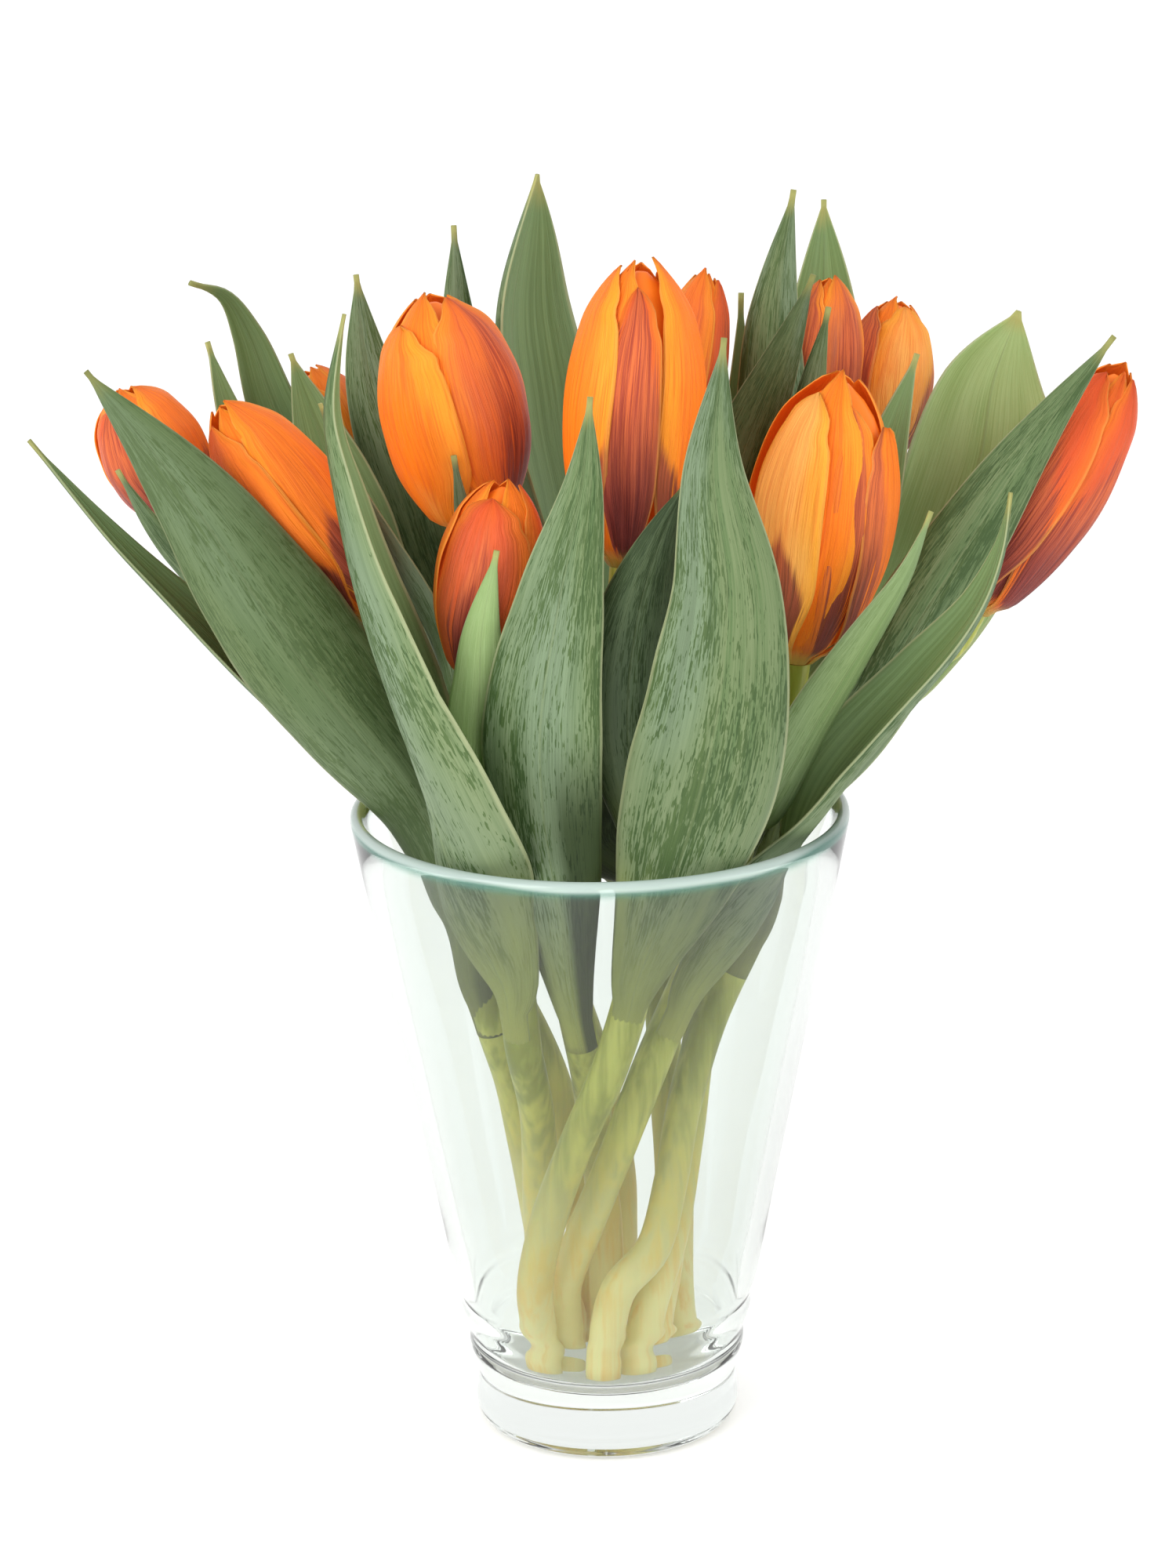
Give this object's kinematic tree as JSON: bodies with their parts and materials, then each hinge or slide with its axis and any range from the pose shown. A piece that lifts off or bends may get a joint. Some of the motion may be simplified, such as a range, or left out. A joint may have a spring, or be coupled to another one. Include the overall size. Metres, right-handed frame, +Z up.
{
  "type": "tulips in a vase",
  "caption": "Bouquet of cut tulips with closed orange blooms and broad grey-green leaves, standing in a tapered clear glass vase with a thick base; for display on a table or shelf",
  "frame": {"origin": "centre of the vase's flat foot, on the surface it stands on", "axes": "+Z up, the vase's axis; the bouquet's front faces -Y; +X is to the right seen from the front"},
  "size_m": [0.28, 0.1419, 0.3252],
  "materials": {
    "glass": "polished",
    "leafy_stem": "waxy",
    "bloom": "satin"
  },
  "bodies": {
    "root": {"vase": "glass", "tulip_01_leafy_stem": "leafy_stem", "tulip_01_bloom": "bloom", "tulip_02_leafy_stem": "leafy_stem", "tulip_02_bloom": "bloom", "tulip_03_leafy_stem": "leafy_stem", "tulip_03_bloom": "bloom", "tulip_04_leafy_stem": "leafy_stem", "tulip_04_bloom": "bloom", "tulip_05_leafy_stem": "leafy_stem", "tulip_05_bloom": "bloom", "tulip_06_leafy_stem": "leafy_stem", "tulip_06_bloom": "bloom", "tulip_07_leafy_stem": "leafy_stem", "tulip_07_bloom": "bloom", "tulip_08_leafy_stem": "leafy_stem", "tulip_08_bloom": "bloom", "tulip_09_leafy_stem": "leafy_stem", "tulip_09_bloom": "bloom", "tulip_10_leafy_stem": "leafy_stem", "tulip_10_bloom": "bloom", "tulip_11_leafy_stem": "leafy_stem", "tulip_11_bloom": "bloom"}
  },
  "joints": []
}
